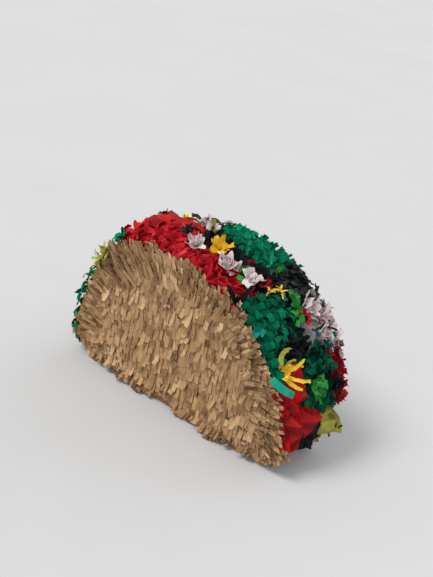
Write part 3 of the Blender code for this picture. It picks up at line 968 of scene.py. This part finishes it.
def onions():
    """White tissue crushed into scraps like open flowers, and a few grey-brown curls."""
    s = Sheaf("onion_tuft_middle")
    tuft(s, 66, -.38, 5, .024, .9, (.01, .014), .018, crush=.0012)
    places = ((91, -.6, .022, .013), (76.5, -.5, .02, .013), (73.5, -.43, .019, .01),
              (67, -.4, .02, .0095), (97, .25, .02, .01), (102, .44, .02, .013), (106, .62, .019, .012))
    filling(s, "white", *scraps(s, places))
    s = Sheaf("onion_tuft_far", columns=5)
    for angle, lane in ((51, .46), (48.5, .62), (45.5, .84), (40, .52), (38.5, .74), (36.5, .86)):
        tuft(s, angle, lane, 6, .024, .8, (.01, .015), (.016, .025), (.6, -.4), belly=.2,
             crush=.0009, cup=(-.5, .1), curl=(.1, .8), tint=(.3, .9))
    places = ((48, .56, .022, .012), (45, .78, .022, .012), (39, .6, .022, .011), (37.5, .84, .022, .012))
    filling(s, "white", under(s, (34, 51), (.45, 1), .022, .8), *scraps(s, places))
    s = Sheaf("onion_curls", steps=6)
    for angle, lane in ((99.5, .6), (105, .35), (108, .6), (50, .8), (47.5, .94), (41, .92), (33, 1.0)):
        tuft(s, angle, lane, 4, .026, .6, (.007, .01), .02, curl=1.5)
    filling(s, "taupe")


def cheese():
    """Yellow petals and curls, and strips and folds of yellow-green paper."""
    s = Sheaf("cheese_tuft_top")
    tuft(s, 84.6, -.26, 10, .022, 1.0, (.006, .01), (.013, .025), (.35, .25), belly=.3,
         curl=(0, .5), crush=.0011)
    tuft(s, 117, .66, 9, .028, .9, (.005, .009), (.011, .015), belly=.3)
    filling(s, "yellow")
    s = Sheaf("cheese_flowers", steps=8)
    tuft(s, 58.5, .1, 7, .024, 1.1, (.003, .005), (.01, .015), curl=(.8, 2), taper=.4)
    tuft(s, 60, -.15, 5, .024, 1.0, (.003, .005), (.008, .012), curl=(.8, 2), taper=.4)
    petals = ((-.5, -1, .5, .034, .0034, .9, .6), (-.12, -1, .6, .04, .0046, -.9, .5),
              (.7, -.7, .5, .041, .005, -.7, -.3), (.95, -.35, .4, .038, .0056, -.8, -.4),
              (-.7, -.5, .8, .022, .008, .2, .3), (.3, -.4, .9, .016, .01, 0, .3),
              (-.3, -.3, .9, .014, .01, 0, .3), (.8, -.1, .9, .016, .009, 0, .3))
    ribbons(s, 31.2, -.86, .021, petals, taper=.25, belly=.2, crush=.0006, cup=.25, hook=2)
    filling(s, "yellow")
    s = Sheaf("cheese_strips_left", steps=5)
    shag(s, (133, 200), (-.8, .36), .3, .0095, .014, (.004, .008), (.016, .022))
    shag(s, (130, 144), (-1.05, -.7), .3, .0062, .02, (.003, .006), (.011, .018), stray=.6, face=.9,
         spin=.8, fall=-1, curl=(.3, 1.2))
    for angle, lane in ((131, -1.02), (134.5, -1.0), (139, -1.02)):
        tuft(s, angle, lane, 8, .018, 1.0, (.003, .0055), (.011, .018), (-.3, .7), tint=(.4, 1))
    filling(s, "lime", under(s, (131, 200), MIDDLE, .02))
    s = Sheaf("cheese_fold_low")
    ribbons(s, 95.5, .15, .022, ((.1, 0, 1, .024, .008, 0, .3), (-.3, .2, 1, .018, .006, .2, .5)),
            crush=.0006)
    heights = ((20, 29, 33, 40), (23, 35, 33, 39), (24, 31, 35, 33), (20, 27, 25, 20), (6, 9, 9, 5))
    main = folded(s, (1.5, 4.5, 8, 11, 14), (.35, .6, .82, 1.01), heights, (1.01, .98, .92, .84, .76))
    filling(s, "lime", main, smooth=8)
    s = Sheaf("cheese_curl_near", steps=10)
    ribbons(s, 31.5, -.84, .021, ((-1, .1, .35, .044, .008, 2.6, .5), (-.8, -.6, .4, .028, .004, 1.4, .4)),
            crush=.0004, cup=.3, hook=3, tint=.75)
    filling(s, "lime")


def leaves():
    """Light green and teal paper tucked among the rest."""
    s = Sheaf("lettuce_leaves", steps=5)
    for angle, lane, height, count in (
            (69.5, -.4, .022, 5), (54.5, .3, .026, 6), (50, .18, .026, 5), (47, .1, .026, 5),
            (66.5, .35, .022, 5), (22.5, -.1, .036, 11), (24, .05, .034, 7), (20, -.02, .034, 6)):
        tuft(s, angle, lane, count, height, .9, (.005, .01), (.009, .015), belly=.2,
             curl=(.6, 1.8), tint=(.1, .7))
    filling(s, "leaf")
    s = Sheaf("lettuce_ribbons", steps=7)
    tuft(s, 48.5, -1.0, 2, .02, .5, .01, .012, curl=1.4, tint=.3)
    tuft(s, 35.8, .62, 3, .029, 1.1, .009, .02, tint=(0, .12))
    tuft(s, 42, .36, 2, .027, 1.0, .007, .016, tint=(0, .12))
    ribbons(s, 31, -1.2, .021, ((3.7, -1.7, .1, .042, .0095, -.5, -.4),), crush=.0003, tint=.6, belly=.15)
    filling(s, "teal")


# ---- floor, light and camera

AIM = Vector((0, 0, .12))  # where the lights point


def build_stage():
    """A plain pale floor."""
    corners = np.array([(-1, -1, 0), (1, -1, 0), (1, 1, 0), (-1, 1, 0)]) * 6.0
    n = Nodes("pale_floor")
    shades = [(.3, (.59, .59, .595)), (.7, (.615, .615, .62))]
    n.shade(Base_Color=n.ramp(n.noise(n.place, 3, 4), shades), Roughness=.9, Specular_IOR_Level=.1)
    floor = made("floor", corners, np.array([(0, 1, 2, 3)]), corners, n.material)


def lamp(name, place, softness, strength, colour=(1, 1, 1)):
    """A soft, even light from far away."""
    data = bpy.data.lights.new(name, "SUN")
    data.angle = math.radians(softness)
    data.energy = strength
    data.color = colour
    light = placed(data)
    light.location = place
    light.rotation_euler = (Vector(place) - AIM).to_track_quat("Z", "Y").to_euler()


def build_light():
    """Light from above and the left, a weaker one from the camera's side, and a pale surround."""
    lamp("key", (-.6, -1.3, 2.2), 26, 1.8, (1, .98, .95))
    lamp("fill", (1.6, -1.9, 1.0), 60, .4)
    lamp("rear", (.5, 2.0, 1.3), 60, .45)
    world = bpy.data.worlds.new("surround")
    world.use_nodes = True
    background = world.node_tree.nodes["Background"].inputs
    background["Color"].default_value = (.96, .98, 1, 1)
    background["Strength"].default_value = .66
    bpy.context.scene.world = world
    bpy.context.scene.view_settings.view_transform = "Standard"


def build_camera():
    """The camera: to the right and above, a little tilted."""
    data = bpy.data.cameras.new("camera")
    data.sensor_width = 36
    data.lens = 65.97
    data.shift_x, data.shift_y = .0267, .0945
    camera = placed(data)
    view = Matrix.Translation((0, 0, .1))
    for degrees, axis in ((38.886, "Z"), (90 - 27.886, "X"), (9.565, "Z")):
        view = view @ Matrix.Rotation(math.radians(degrees), 4, axis)
    camera.matrix_world = view @ Matrix.Translation((0, 0, 1.6072))
    bpy.context.scene.camera = camera


build_camera()
build_light()
build_stage()
build_kraft()
build_hinge_tape()
lettuce()
tomato()
salsa()
olives()
onions()
cheese()
leaves()
